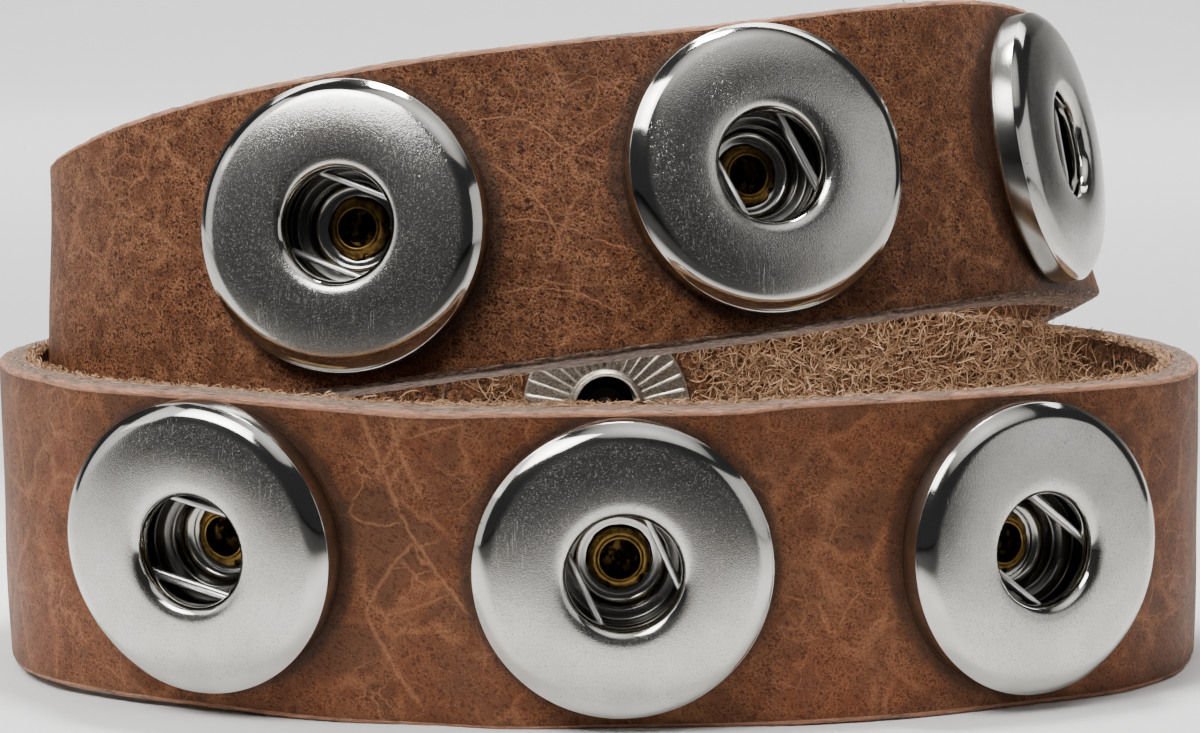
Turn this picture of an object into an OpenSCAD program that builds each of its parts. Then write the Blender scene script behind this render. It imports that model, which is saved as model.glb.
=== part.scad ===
// Leather snap bracelet: one strap wound twice round the wrist, standing on its lower edge.
// Millimetres, Z up. The origin is on the floor, under the middle of the bracelet.

/* [Strap] */
// Width of the strap
strap_w = 20; // [19.4:0.2:20.2]
// Thickness of the leather
strap_t = 2.4; // [2:0.1:2.5]
// Length of each end past the closure snap
tip_len = 12; // [9:0.5:13]
// Radius of the corners at the strap's ends
tip_r = 5; // [2:0.5:8]
// Bevel on the cut edges
edge_bevel = 0.35; // [0.2:0.05:0.6]
// Gap between the two ends where they lie on each other
lap_gap = 0.3; // [0.2:0.05:0.4]

/* [Sockets] */
// Diameter of the face plate
plate_d = 18.3; // [17:0.1:18.5]
// Height of the plate's straight side band
band_h = 1.85; // [1.8:0.05:2]
// Rise of the dome above the band
dome_h = 0.95; // [0.85:0.05:1.05]
// Diameter of the mouth
mouth_d = 7; // [6.6:0.1:7.2]
// Inner diameter of the cup's upper step
cup_d = 7.2; // [7:0.1:7.4]
// Inner diameter of the cup's lower step
cup_low_d = 5.8; // [5.4:0.1:6]
// Gap between the plate and the leather
seat_gap = 0.2; // [0.15:0.05:0.3]

/* [Springs] */
// Thickness of the spring wire
wire_d = 0.42; // [0.36:0.02:0.44]
// Distance between the two chords of the spring
chord_gap = 5.3; // [5:0.1:5.5]
// Overall length of the spring
spring_len = 11.6; // [11:0.1:12]

/* [Rivets] */
// Outer diameter of the tube
tube_d = 3.3; // [3:0.1:3.4]
// Bore of the tube
tube_bore = 2.55; // [2.2:0.05:2.7]
// Diameter of the rolled rim in the cup
rim_d = 4; // [3.8:0.1:4.4]
// Diameter of the closed head on the flesh side
flange_d = 9; // [8:0.2:9.4]

/* [Closure] */
// Diameter of the fluted eyelet
eyelet_d = 12.2; // [11.4:0.2:12.4]
// Number of grooves between its flutes
flutes = 34; // [28:1:36]
// Diameter of the eyelet's hole
eyelet_hole = 4.4; // [4:0.1:4.4]
// Diameter of the plain cap on the outside
cap_d = 12; // [10:0.5:13]

/* [Hidden] */
$fn = 64;
places = ["lower_left", "lower_middle", "lower_right", "upper_left", "upper_middle", "upper_right"];

// Course of the strap's mid line, a row for each eighth of a turn, clockwise from the closure
// at the back: x to the right, y to the back, height z, lean of the grain side upwards in degrees
course = [
    // x,     y,    z,   lean
    [ -4.5,  25.5, 14.5,  -3], // back, closure
    [ 21.0,  24.0, 11.2,  -7],
    [ 37.5,  11.0, 10.0,  -1], // right end, lower turn
    [ 34.0, -11.0, 10.0,   0],
    [ 12.5, -23.5, 10.0,   1], // front, lower turn
    [-10.5, -25.0, 10.0,  -7],
    [-35.0, -13.0, 10.5,  -2], // left end, lower turn
    [-37.5,  15.5, 10.0,  -5],
    [-18.0,  35.0, 12.5, -15], // back, middle stretch
    [  9.5,  37.0, 21.0,  -4],
    [ 29.0,  24.0, 30.0,  18], // right end, upper turn
    [ 25.0,  -1.5, 34.0,  10],
    [  4.5, -15.0, 32.5,  12], // front, upper turn
    [-20.0, -14.5, 29.0,   6],
    [-36.5,   1.0, 23.0,   2], // left end, upper turn
    [-28.5,  20.0, 19.0,  -5]
];
rows = len(course);
per_turn = rows / 2;

// Sockets: place along the course in turns, rise above the strap's centre line, and how far
// the spring's chords are turned
sockets = [
    // turn, rise, chords
    [0.689, 0.7, -12], // lower left
    [0.566, 0.4, -65], // lower middle
    [0.432, 0.2, -37], // lower right
    [1.604, 0.2, -29], // upper left
    [1.476, 0.3, -69], // upper middle
    [1.349, -0.1, -88] // upper right
];

closure_turn = 0.02;
lap_shift = (strap_t + lap_gap) / 2;
grain = strap_t / 2;
// Moves the middle of the whole bracelet over the origin
plan_shift = [0.58, -5.43];

// Smooth closed curve through the stations: the slope at each one is a sum of the steps about it,
// whose weights fall by sqrt(3) - 2 with each station further away
fall = sqrt(3) - 2;
reach = 7;
function station(i) = course[(i + 2 * rows) % rows];
function weight(k) = sqrt(3) / 2 * pow(fall, abs(k));
function sum(list, i = 0) = i == len(list) - 1 ? list[i] : list[i] + sum(list, i + 1);
slopes = [
    for (i = [0:rows - 1])
        sum([for (k = [-reach:reach]) weight(k) * (station(i + k + 1) - station(i + k - 1))])
];
function slope(i) = slopes[(i + 2 * rows) % rows];

// Row values and their rate at a place given in turns
function at_row(u, a, b, ma, mb) =
    (1 + 2 * u) * pow(1 - u, 2) * a + u * pow(1 - u, 2) * ma
    + u * u * (3 - 2 * u) * b + u * u * (u - 1) * mb;
function rate_row(u, a, b, ma, mb) =
    6 * u * (u - 1) * (a - b) + (1 - u) * (1 - 3 * u) * ma + u * (3 * u - 2) * mb;
function course_at(turn) =
    let (s = turn * per_turn + rows, i = floor(s))
    at_row(s - i, station(i), station(i + 1), slope(i), slope(i + 1));
function rate_at(turn) =
    let (s = turn * per_turn + rows, i = floor(s))
    rate_row(s - i, station(i), station(i + 1), slope(i), slope(i + 1)) * per_turn;

function xyz(v) = [v.x, v.y, v.z];
function on_plan(v) = [v.x + plan_shift.x, v.y + plan_shift.y, v.z];
function unit(v) = v / norm(v);

// The stiff sockets hold the strap's lean near them: index of the nearest, distance from it in turns
held_full = 0.034;
held_end = 0.06;
function off_socket(turn) = [for (s = sockets) abs(turn - s[0])];
function nearest(turn) = let (list = off_socket(turn), d = min(list)) search(d, list)[0];
function lean_at(turn) =
    let (
        i = nearest(turn),
        d = off_socket(turn)[i],
        free = course_at(turn)[3],
        k = min(1, max(0, (d - held_full) / (held_end - held_full)))
    )
    free + (course_at(sockets[i][0])[3] - free) * (1 + cos(180 * k)) / 2;

// Frame of the strap at a place: along it to the viewer's right at the front, up its width,
// and out of its grain side
function frame_at(turn) =
    let (
        row = course_at(turn),
        lean = lean_at(turn),
        along = -unit(xyz(rate_at(turn))),
        level = unit(cross([0, 0, -1], along)),
        rise = cross(level, along),
        out = level * cos(lean) + rise * sin(lean),
        up = rise * cos(lean) - level * sin(lean)
    )
    [along, up, out, on_plan(row)];

// The two ends lie on each other at the closure: the inner end steps in, the outer end out
lap_flat = 0.075;
lap_fade = 0.2;
function fade(d) =
    d < lap_flat ? 1 : d > lap_fade ? 0 : 0.5 + 0.5 * cos(180 * (d - lap_flat) / (lap_fade - lap_flat));
function lap(turn) =
    turn < 1 ? -lap_shift * fade(turn - closure_turn) : lap_shift * fade(2 + closure_turn - turn);

// Places of the strap's rings, closer together at the rounded corners of its ends
tip_turn = tip_len / norm(xyz(rate_at(closure_turn)));
per_mm = tip_turn / tip_len;
corner_steps = 5;
body_rings = 160;
first = closure_turn - tip_turn;
last = 2 + closure_turn + tip_turn;
function corner(k) = tip_r * (1 - cos(90 * k / corner_steps)) * per_mm;
ring_turns = concat(
    [for (k = [0:corner_steps - 1]) first + corner(k)],
    [for (k = [0:body_rings]) first + tip_r * per_mm + k * (last - first - 2 * tip_r * per_mm) / body_rings],
    [for (k = [corner_steps - 1:-1:0]) last - corner(k)]
);

// The sockets also hold the strap nearly flat, so it bends more between them: its rise off the course
flat_rise = 0.5;
flat_reach = 0.044;
flat_fade = 0.064;
flat_end = 0.11;
function press(turn) =
    let (
        d = min(off_socket(turn)),
        up = min(1, d / flat_reach),
        down = min(1, max(0, (d - flat_fade) / (flat_end - flat_fade)))
    )
    flat_rise * (1 - cos(180 * up)) / 2 * (1 + cos(180 * down)) / 2;

// Half the strap's width at a place, less at the rounded corners
function half_w(turn) =
    let (d = min(turn - first, last - turn) / per_mm)
    strap_w / 2 - (d >= tip_r ? 0 : tip_r - sqrt(max(0, tip_r * tip_r - pow(tip_r - d, 2))));

// One ring of the strap: a rectangle with bevelled corners, flattened where it stands on the floor
function ring(turn) =
    let (
        f = frame_at(turn),
        c = f[3] + f[2] * (lap(turn) + press(turn)),
        g = grain,
        w = half_w(turn),
        e = edge_bevel
    )
    [for (q = [[g, -w + e], [g, w - e], [g - e, w], [-g + e, w],
               [-g, w - e], [-g, -w + e], [-g + e, -w], [g - e, -w]])
        let (p = c + f[2] * q.x + f[1] * q.y) [p.x, p.y, max(0, p.z)]];

module strap_sweep() {
    n = 8;
    m = len(ring_turns);
    points = [for (t = ring_turns) each ring(t)];
    sides = [for (i = [0:m - 2], k = [0:n - 1])
        let (a = i * n + k, b = i * n + (k + 1) % n, c = a + n, d = b + n)
        each [[a, d, b], [a, c, d]]];
    end_a = [[for (k = [0:n - 1]) k]];
    end_b = [[for (k = [n - 1:-1:0]) (m - 1) * n + k]];
    polyhedron(points, concat(sides, end_a, end_b), convexity = 10);
}

// Moves its children to a place on the strap
module on_strap(turn, rise = 0) {
    f = frame_at(turn);
    o = f[3] + f[1] * rise;
    multmatrix([
        [f[0].x, f[1].x, f[2].x, o.x],
        [f[0].y, f[1].y, f[2].y, o.y],
        [f[0].z, f[1].z, f[2].z, o.z],
        [0, 0, 0, 1]
    ])
    children();
}

// Strap, punched for the sockets' stepped cups and for the closure
sheet = 0.25;
ledge_z = 0.6;
punch_gap = 0.15;
punch_r = cup_d / 2 + sheet + punch_gap;
punch_low_r = cup_low_d / 2 + sheet + punch_gap;
closure_punch_r = eyelet_hole / 2 + 0.4;
punch_over = 1;
module strap() {
    color("sienna")
    difference() {
        strap_sweep();
        for (s = sockets)
            on_strap(s[0], s[1]) {
                cylinder(r = punch_low_r, h = strap_t + 2 * punch_over, center = true);
                translate([0, 0, ledge_z - sheet - punch_gap])
                cylinder(r = punch_r, h = strap_t);
            }
        on_strap(closure_turn)
        cylinder(r = closure_punch_r, h = 2 * strap_t + lap_gap + 2 * punch_over, center = true);
    }
}

// Socket heights above the strap's mid plane
plate_z = grain + seat_gap;
band_top = plate_z + band_h;
edge_r = 0.25;
crest_z = band_top + dome_h;
crest_r = 4.7;
lip_drop = 0.85;
lip_z = crest_z - lip_drop;
lip_h = 0.5;
lip_low = lip_z - lip_h;
room_r = spring_len / 2 + 0.35;
room_floor = plate_z + sheet + 0.05;
room_top = crest_z - 0.55;
cup_floor = -0.9;

// Face plate, spring room and stepped cup, turned from one profile
arc_steps = 4;
dome_steps = 7;
module socket(i) {
    r = plate_d / 2;
    m = mouth_d / 2;
    edge = [for (k = [0:arc_steps])
        [r - edge_r + edge_r * cos(90 * k / arc_steps), band_top + edge_r * sin(90 * k / arc_steps)]];
    dome = [for (k = [1:dome_steps])
        let (u = k / dome_steps)
        [r - edge_r + (crest_r - r + edge_r) * u,
         band_top + edge_r + (crest_z - band_top - edge_r) * (1 - pow(1 - u, 2))]];
    lip = [for (k = [1:dome_steps])
        let (a = 90 * k / dome_steps)
        [m + (crest_r - m) * (1 - sin(a)), lip_z + lip_drop * cos(a)]];
    hollow = [
        [m, lip_low], [m + 0.35, lip_low], [m + 0.45, room_top], [room_r, room_top],
        [room_r, room_floor], [cup_d / 2, room_floor], [cup_d / 2, ledge_z],
        [cup_low_d / 2, ledge_z], [cup_low_d / 2, cup_floor], [tube_d / 2 + 0.1, cup_floor]
    ];
    under = [
        [tube_d / 2 + 0.1, cup_floor - sheet], [cup_low_d / 2 + sheet, cup_floor - sheet],
        [cup_low_d / 2 + sheet, ledge_z - sheet], [cup_d / 2 + sheet, ledge_z - sheet],
        [cup_d / 2 + sheet, plate_z], [r - 0.1, plate_z], [r, plate_z + 0.1]
    ];
    color("silver")
    on_strap(sockets[i][0], sockets[i][1])
    rotate_extrude()
    polygon(concat(edge, dome, lip, hollow, under));
}

// Wire spring: a flattened coil of two turns, one on the other, whose straight sides cross the mouth.
// The wire steps up to its second turn round one bend, and ends there
wire_pitch = wire_d + 0.08;
bend_steps = 6;
wire_sides = 6;
spring_z = room_floor + wire_d / 2 + 0.05;
module spring(i) {
    c = chord_gap / 2;
    a = spring_len / 2 - wire_d / 2 - c;
    high = spring_z + wire_pitch;
    function right_bend(z) =
        [for (k = [0:bend_steps])
            let (v = 180 * k / bend_steps) [a + c * sin(v), c * cos(v), z]];
    step_up = [
        for (k = [0:bend_steps])
            let (v = 180 * k / bend_steps)
            [-a - c * sin(v), -c * cos(v), spring_z + wire_pitch * (1 - cos(v)) / 2]];
    path = concat([[-a, c, spring_z]], right_bend(spring_z), step_up, right_bend(high), [[-a, -c, high]]);
    count = len(path);
    points = [for (k = [0:count - 1])
        let (
            ahead = unit(path[min(k + 1, count - 1)] - path[max(k - 1, 0)]),
            side = unit(cross(ahead, [0, 0, 1])),
            top = cross(side, ahead)
        )
        each [for (j = [0:wire_sides - 1])
            path[k] + wire_d / 2 * (side * cos(360 * j / wire_sides) + top * sin(360 * j / wire_sides))]];
    sides = [for (k = [0:count - 2], j = [0:wire_sides - 1])
        let (p = k * wire_sides + j, q = k * wire_sides + (j + 1) % wire_sides)
        each [[p, q, q + wire_sides], [p, q + wire_sides, p + wire_sides]]];
    end_a = [[for (j = [wire_sides - 1:-1:0]) j]];
    end_b = [[for (j = [0:wire_sides - 1]) (count - 1) * wire_sides + j]];
    color("gainsboro")
    on_strap(sockets[i][0], sockets[i][1])
    rotate([0, 0, sockets[i][2]])
    polyhedron(points, concat(sides, end_a, end_b), convexity = 6);
}

// Tubular rivet: rolled rim in the cup, tube, and a closed head on the flesh side, dished as the strap bends
flange_gap = 0.3;
flange_dish = 0.15;
flange_t = 0.45;
rim_h = 0.4;
module rivet(i) {
    b = tube_bore / 2;
    t = tube_d / 2;
    f = flange_d / 2;
    rim = rim_d / 2;
    rim_z = cup_floor + 0.05;
    top = -grain - flange_gap;
    low = top - flange_dish;
    color("goldenrod")
    on_strap(sockets[i][0], sockets[i][1])
    rotate_extrude()
    polygon([
        [0, top - flange_t], [0, top], [b, top], [b, rim_z + rim_h - 0.1], [b + 0.12, rim_z + rim_h],
        [rim - 0.25, rim_z + rim_h], [rim, rim_z + rim_h - 0.2], [rim, rim_z + 0.08], [rim - 0.08, rim_z], [t, rim_z],
        [t, top], [f - 0.15, low], [f, low - 0.15], [f, low - flange_t + 0.15], [f - 0.3, low - flange_t]
    ]);
}

// Fluted eyelet on the flesh side of the inner end: a barrel through the leather, a rounded ring about
// the hole, then a shallow cone with a groove between each two flutes
eyelet_top = -lap_shift - grain - 0.3;
eyelet_t = 0.7;
barrel_t = 0.25;
ring_w = 0.45;
ring_h = 0.35;
cone_fall = 0.35;
rim_w = 0.2;
groove_in = 0.2;
groove_out = 0.48;
groove_rise = 0.12;
groove_tilt = 84;
module closure_eyelet() {
    r = eyelet_d / 2;
    h = eyelet_hole / 2;
    low = eyelet_top - eyelet_t;
    ring_r = h + ring_w;
    bead = [for (k = [0:8])
        [h + ring_w * (1 - cos(180 * k / 8)) / 2, low - ring_h * sin(180 * k / 8)]];
    color("darkgray")
    on_strap(closure_turn)
    difference() {
        rotate_extrude()
        polygon(concat(
            [[h, 0], [h, low]], bead,
            [[r - rim_w, low + cone_fall], [r, low + cone_fall + rim_w / 2], [r, eyelet_top],
             [h + barrel_t, eyelet_top], [h + barrel_t, 0]]
        ));
        for (k = [0:flutes - 1])
            rotate([0, 0, 360 * k / flutes])
            translate([ring_r + barrel_t / 2, 0, low - groove_rise])
            rotate([0, groove_tilt, 0])
            cylinder(r1 = groove_in, r2 = groove_out, h = r, $fn = 16);
    }
}

// Hidden part of the closure: a plain cap outside, with a post through both ends of the strap
cap_gap = 0.2;
cap_h = 1;
cap_edge_h = 0.35;
post_r = 1.5;
module closure_snap() {
    r = cap_d / 2;
    z = lap_shift + grain + cap_gap;
    color("silver")
    on_strap(closure_turn)
    rotate_extrude()
    polygon(concat(
        [[0, -lap_shift - grain], [post_r, -lap_shift - grain], [post_r, z], [r - 0.1, z], [r, z + 0.1]],
        [for (k = [0:6]) [r * cos(90 * k / 6), z + cap_edge_h + (cap_h - cap_edge_h) * sin(90 * k / 6)]]
    ));
}

strap();
for (i = [0:len(places) - 1]) {
    socket(i);
    spring(i);
    rivet(i);
}
closure_eyelet();
closure_snap();
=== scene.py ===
from types import SimpleNamespace
import bpy
import numpy as np
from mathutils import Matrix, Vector


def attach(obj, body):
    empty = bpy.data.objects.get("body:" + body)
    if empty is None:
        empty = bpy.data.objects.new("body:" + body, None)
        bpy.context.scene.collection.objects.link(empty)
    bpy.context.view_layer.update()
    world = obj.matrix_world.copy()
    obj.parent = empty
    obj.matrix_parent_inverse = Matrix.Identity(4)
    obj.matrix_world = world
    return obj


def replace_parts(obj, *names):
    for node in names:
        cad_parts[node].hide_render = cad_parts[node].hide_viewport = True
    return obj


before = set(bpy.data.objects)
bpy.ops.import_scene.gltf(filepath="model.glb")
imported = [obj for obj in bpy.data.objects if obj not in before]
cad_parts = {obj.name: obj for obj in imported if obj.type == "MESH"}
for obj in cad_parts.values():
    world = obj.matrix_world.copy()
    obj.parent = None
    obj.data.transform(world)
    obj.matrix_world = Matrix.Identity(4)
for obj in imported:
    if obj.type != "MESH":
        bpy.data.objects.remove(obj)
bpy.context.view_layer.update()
rng = np.random.default_rng(11)
mm = 0.001


# sRGB hex to the linear colour that shaders take
def tone(text):
    c = np.array([int(text[i:i + 2], 16) for i in (1, 3, 5)]) / 255
    c = np.where(c <= 0.04045, c / 12.92, ((c + 0.055) / 1.055) ** 2.4)
    return (*c.tolist(), 1.0)


# A material in the making. Each method adds a shader node and returns the socket with its result. An
# input may be such a socket, the hex text of a colour, or numbers
class Recipe:
    def __init__(self, name):
        self.material = bpy.data.materials.new(name)
        self.material.use_nodes = True
        self.tree = self.material.node_tree
        # places in millimetres on the object, for patterns at their real size
        self.place = self.vector("MULTIPLY", self.node("TexCoord", output="Object"), (1 / mm,) * 3)

    def fill(self, made, inputs):
        for key, value in inputs.items():
            if isinstance(value, bpy.types.NodeSocket):
                self.tree.links.new(value, made.inputs[key])
            else:
                made.inputs[key].default_value = tone(value) if isinstance(value, str) else value

    def node(self, kind, inputs=None, output=0, **settings):
        made = self.tree.nodes.new("ShaderNode" + kind)
        for key, value in settings.items():
            setattr(made, key, value)
        self.fill(made, inputs or {})
        return made.outputs[output]

    def vector(self, operation, a, b, output=0):
        return self.node("VectorMath", {0: a, 1: b}, output, operation=operation)

    def math(self, operation, *values):
        return self.node("Math", dict(enumerate(values)), operation=operation)

    def plus(self, a, b):
        return self.math("ADD", a, b)

    def minus(self, a, b):
        return self.math("SUBTRACT", a, b)

    def times(self, a, b):
        return self.math("MULTIPLY", a, b)

    def most(self, a, b):
        return self.math("MAXIMUM", a, b)

    # a smooth step: low becomes toLow and high becomes toHigh
    def spread(self, value, low, high, toLow=0.0, toHigh=1.0):
        inputs = {0: value, 1: low, 2: high, 3: toLow, 4: toHigh}
        return self.node("MapRange", inputs, interpolation_type="SMOOTHSTEP")

    # 1 where a value is 0, fading to 0 at the given distance either side
    def ridge(self, value, half):
        return self.spread(self.math("ABSOLUTE", value), 0.0, half, 1.0, 0.0)

    def noise(self, scale, detail, vector=None, output=0, **more):
        vector = self.place if vector is None else vector
        return self.node("TexNoise", {"Vector": vector, "Scale": scale, "Detail": detail, **more}, output)

    def attribute(self, name):
        return self.node("Attribute", output="Fac", attribute_name=name)

    def mix(self, share, a, b):
        return self.node("Mix", {0: share, 6: a, 7: b}, 2, data_type="RGBA")

    def ramp(self, value, *stops):
        colour = self.node("ValToRGB", {0: value})
        steps = colour.node.color_ramp.elements
        while len(steps) < len(stops):
            steps.new(0.5)
        for step, (place, text) in zip(steps, stops):
            step.position, step.color = place, tone(text)
        return colour

    def bump(self, height, distance, strength):
        return self.node("Bump", {"Height": height, "Distance": distance, "Strength": strength})

    def finish(self, colour, roughness, specular=0.5, metallic=0.0, **more):
        inputs = {"Base Color": colour, "Roughness": roughness, "Specular IOR Level": specular}
        self.fill(self.tree.nodes["Principled BSDF"], {**inputs, "Metallic": metallic, **more})
        return self.material


# mesh from arrays: points in mm, quads and triangles as index rows, named values a point, a material's
# number a face, uv a row for each corner
def meshFrom(name, materials, points, quads, tris=(), values=None, faceMats=None, uv=None):
    mesh = bpy.data.meshes.new(name)
    quads = np.asarray(quads, np.int32).reshape(-1, 4)
    tris = np.asarray(tris, np.int32).reshape(-1, 3)
    corners = np.concatenate([quads.ravel(), tris.ravel()])
    counts = np.repeat([4, 3], [len(quads), len(tris)])
    starts = np.concatenate([[0], np.cumsum(counts)[:-1]])
    mesh.vertices.add(len(points))
    mesh.vertices.foreach_set("co", (np.asarray(points) * mm).astype(np.float32).ravel())
    mesh.loops.add(len(corners))
    mesh.loops.foreach_set("vertex_index", corners.astype(np.int32))
    mesh.polygons.add(len(counts))
    mesh.polygons.foreach_set("loop_start", starts.astype(np.int32))
    if faceMats is not None:
        mesh.polygons.foreach_set("material_index", np.asarray(faceMats, np.int32))
    mesh.update(calc_edges=True)
    mesh.polygons.foreach_set("use_smooth", np.ones(len(counts), bool))
    if uv is not None:
        layer = mesh.uv_layers.new(name="real size")
        layer.data.foreach_set("uv", np.asarray(uv, np.float32).ravel())
    for key, value in (values or {}).items():
        mesh.attributes.new(key, "FLOAT", "POINT").data.foreach_set("value", np.asarray(value, np.float32))
    for material in materials:
        mesh.materials.append(material)
    mesh.validate()
    piece = bpy.data.objects.new(name, mesh)
    bpy.context.scene.collection.objects.link(piece)
    return piece


# quads of a grid of rows x columns points, closed around either way if asked
def gridQuads(rows, cols, closedRows=False, closedCols=False):
    r = np.arange(rows if closedRows else rows - 1)
    c = np.arange(cols if closedCols else cols - 1)
    r0, c0 = np.meshgrid(r, c, indexing="ij")
    r1, c1 = (r0 + 1) % rows, (c0 + 1) % cols
    return np.stack([r0 * cols + c0, r0 * cols + c1, r1 * cols + c1, r1 * cols + c0], -1).reshape(-1, 4)


# The strap's course: the table of the CAD source, a row for each eighth of a turn, in mm and degrees
perTurn = 8
course = np.array([
    [-4.5, 25.5, 14.5, -3],
    [21.0, 24.0, 11.2, -7],
    [37.5, 11.0, 10.0, -1],
    [34.0, -11.0, 10.0, 0],
    [12.5, -23.5, 10.0, 1],
    [-10.5, -25.0, 10.0, -7],
    [-35.0, -13.0, 10.5, -2],
    [-37.5, 15.5, 10.0, -5],
    [-18.0, 35.0, 12.5, -15],
    [9.5, 37.0, 21.0, -4],
    [29.0, 24.0, 30.0, 18],
    [25.0, -1.5, 34.0, 10],
    [4.5, -15.0, 32.5, 12],
    [-20.0, -14.5, 29.0, 6],
    [-36.5, 1.0, 23.0, 2],
    [-28.5, 20.0, 19.0, -5]])
course[:, :2] += (0.58, -5.43)
# sockets: place in turns, rise above the centre line, turn of the spring's chords
sockets = {
    "lower_left": (0.689, 0.7, -12),
    "lower_middle": (0.566, 0.4, -65),
    "lower_right": (0.432, 0.2, -37),
    "upper_left": (1.604, 0.2, -29),
    "upper_middle": (1.476, 0.3, -69),
    "upper_right": (1.349, -0.1, -88)}
socketTurns = np.array([turn for turn, rise, chords in sockets.values()])
closureTurn = 0.02
# in turns: how far round a socket the lean is held and then let go, the same for the flattening there,
# and how far from an end the step aside at the closure is held and let go; in mm: both their sizes
leanHeld, leanFade = 0.034, 0.026
pressRise, pressHeld, pressFade, pressHigh = 0.044, 0.064, 0.046, 0.5
lapHeld, lapFade, lapShift = 0.075, 0.125, 1.35

stations = len(course)
reach = np.arange(-7, 8)
weights = np.sqrt(3) / 2 * (np.sqrt(3) - 2) ** np.abs(reach)
order = np.arange(stations)
slopes = sum(weight * (course[(order + k + 1) % stations] - course[(order + k - 1) % stations])
             for k, weight in zip(reach, weights))


# place and rate of the course: a cubic between stations whose slopes make it smooth
def courseAt(turn):
    s = np.asarray(turn, float) * perTurn
    i = np.floor(s).astype(int)
    u = (s - i)[:, None]
    first, second = i % stations, (i + 1) % stations
    a, b, ma, mb = course[first], course[second], slopes[first], slopes[second]
    v = 1 - u
    at = (1 + 2 * u) * v ** 2 * a + u * v ** 2 * ma + u * u * (3 - 2 * u) * b + u * u * (u - 1) * mb
    rate = 6 * u * (u - 1) * (a - b) + v * (1 - 3 * u) * ma + u * (3 * u - 2) * mb
    return at, rate * perTurn


def unit(v):
    return v / np.linalg.norm(v, axis=-1, keepdims=True)


# 1 at 0 and before it, 0 at 1 and after it
def easeOut(u):
    return (1 + np.cos(np.pi * np.clip(u, 0, 1))) / 2


# frame along the strap: to the viewer's right at the front, up its width, out of its grain side
def frameAt(turn):
    turn = np.atleast_1d(turn)
    at, rate = courseAt(turn)
    off = np.abs(turn[:, None] - socketTurns[None])
    near, d = off.argmin(1), off.min(1)
    held = courseAt(socketTurns)[0][near, 3]
    lean = np.radians(at[:, 3] + (held - at[:, 3]) * easeOut((d - leanHeld) / leanFade))[:, None]
    along = -unit(rate[:, :3])
    level = unit(np.cross([0, 0, -1], along))
    rise = np.cross(level, along)
    out = level * np.cos(lean) + rise * np.sin(lean)
    up = rise * np.cos(lean) - level * np.sin(lean)
    return along, up, out, at[:, :3]


# how far the mid line lies off the course: the ends step apart at the closure, and the stiff
# sockets hold the strap nearly flat
def offCourse(turn):
    fromEnd = np.where(turn < 1, turn - closureTurn, 2 + closureTurn - turn)
    lap = np.where(turn < 1, -1, 1) * lapShift * easeOut((fromEnd - lapHeld) / lapFade)
    d = np.abs(turn[:, None] - socketTurns[None]).min(1)
    press = pressHigh * (1 - easeOut(d / pressRise)) * easeOut((d - pressHeld) / pressFade)
    return lap + press


turnTable = np.linspace(-0.06, 2.1, 4321)
courseSteps = np.linalg.norm(np.diff(courseAt(turnTable)[0][:, :3], axis=0), axis=1)
lengthTable = np.concatenate([[0], np.cumsum(courseSteps)])


def lengthOf(turn):
    return np.interp(turn, turnTable, lengthTable)


def turnOf(length):
    return np.interp(length, lengthTable, turnTable)


# points of the strap from length, place across the width and height over the mid plane
def strapPoints(length, across, height):
    turn = turnOf(length)
    along, up, out, at = frameAt(turn)
    return at + up * np.reshape(across, (-1, 1)) + out * np.reshape(height + offCourse(turn), (-1, 1))


# a socket's or the closure's own frame, to carry shapes made about the z axis to their place
def carried(points, turn, rise, chords=0):
    along, up, out, at = (v[0] for v in frameAt(turn))
    c, s = np.cos(np.radians(chords)), np.sin(np.radians(chords))
    x, y, z = points[..., 0] * c - points[..., 1] * s, points[..., 0] * s + points[..., 1] * c, points[..., 2]
    return at + up * rise + along * x[..., None] + up * y[..., None] + out * z[..., None]


print("course ready, strap length", round(float(lengthOf(2.0) - lengthOf(0.0)), 1), "mm round")


# long creases that stand out on the front, as places on the strap in mm: length and height of the start
# and of the end, how far the middle bends aside, half the width, strength
scars = [
    (338.7, 15.2, 333.3, 12.8, -1.0, 0.09, 0.9),
    (333.3, 12.8, 330.0, 11.5, 0.2, 0.11, 0.5),
    (338.4, 12.8, 334.1, 6.9, -0.8, 0.13, 0.7),
    (338.3, 8.9, 332.1, 6.9, -0.5, 0.09, 0.8),
    (332.1, 6.9, 329.2, 5.8, 0.1, 0.09, 0.8),
    (338.5, 4.3, 331.5, 2.3, -0.8, 0.11, 0.8),
    (336.4, 5.2, 332.4, 4.0, 0.2, 0.1, 0.6),
    (334.8, 11.9, 328.9, 14.8, 0.1, 0.1, 0.7),
    (136.6, 19.4, 134.2, 13.3, -0.1, 0.28, 0.55),
    (134.2, 13.3, 130.0, 7.0, 0.2, 0.2, 0.6),
    (134.7, 19.1, 132.8, 14.4, 0.2, 0.28, 0.5),
    (133.3, 11.5, 136.3, 6.8, 0.3, 0.2, 0.5),
    (136.3, 6.8, 133.0, 1.0, 0.2, 0.26, 0.5),
    (134.9, 6.8, 131.2, 8.3, 0.1, 0.22, 0.45),
    (137.3, 13.0, 134.2, 12.7, 0.4, 0.15, 0.5),
    (133.7, 18.0, 130.2, 19.0, -0.1, 0.15, 0.5)]


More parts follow.
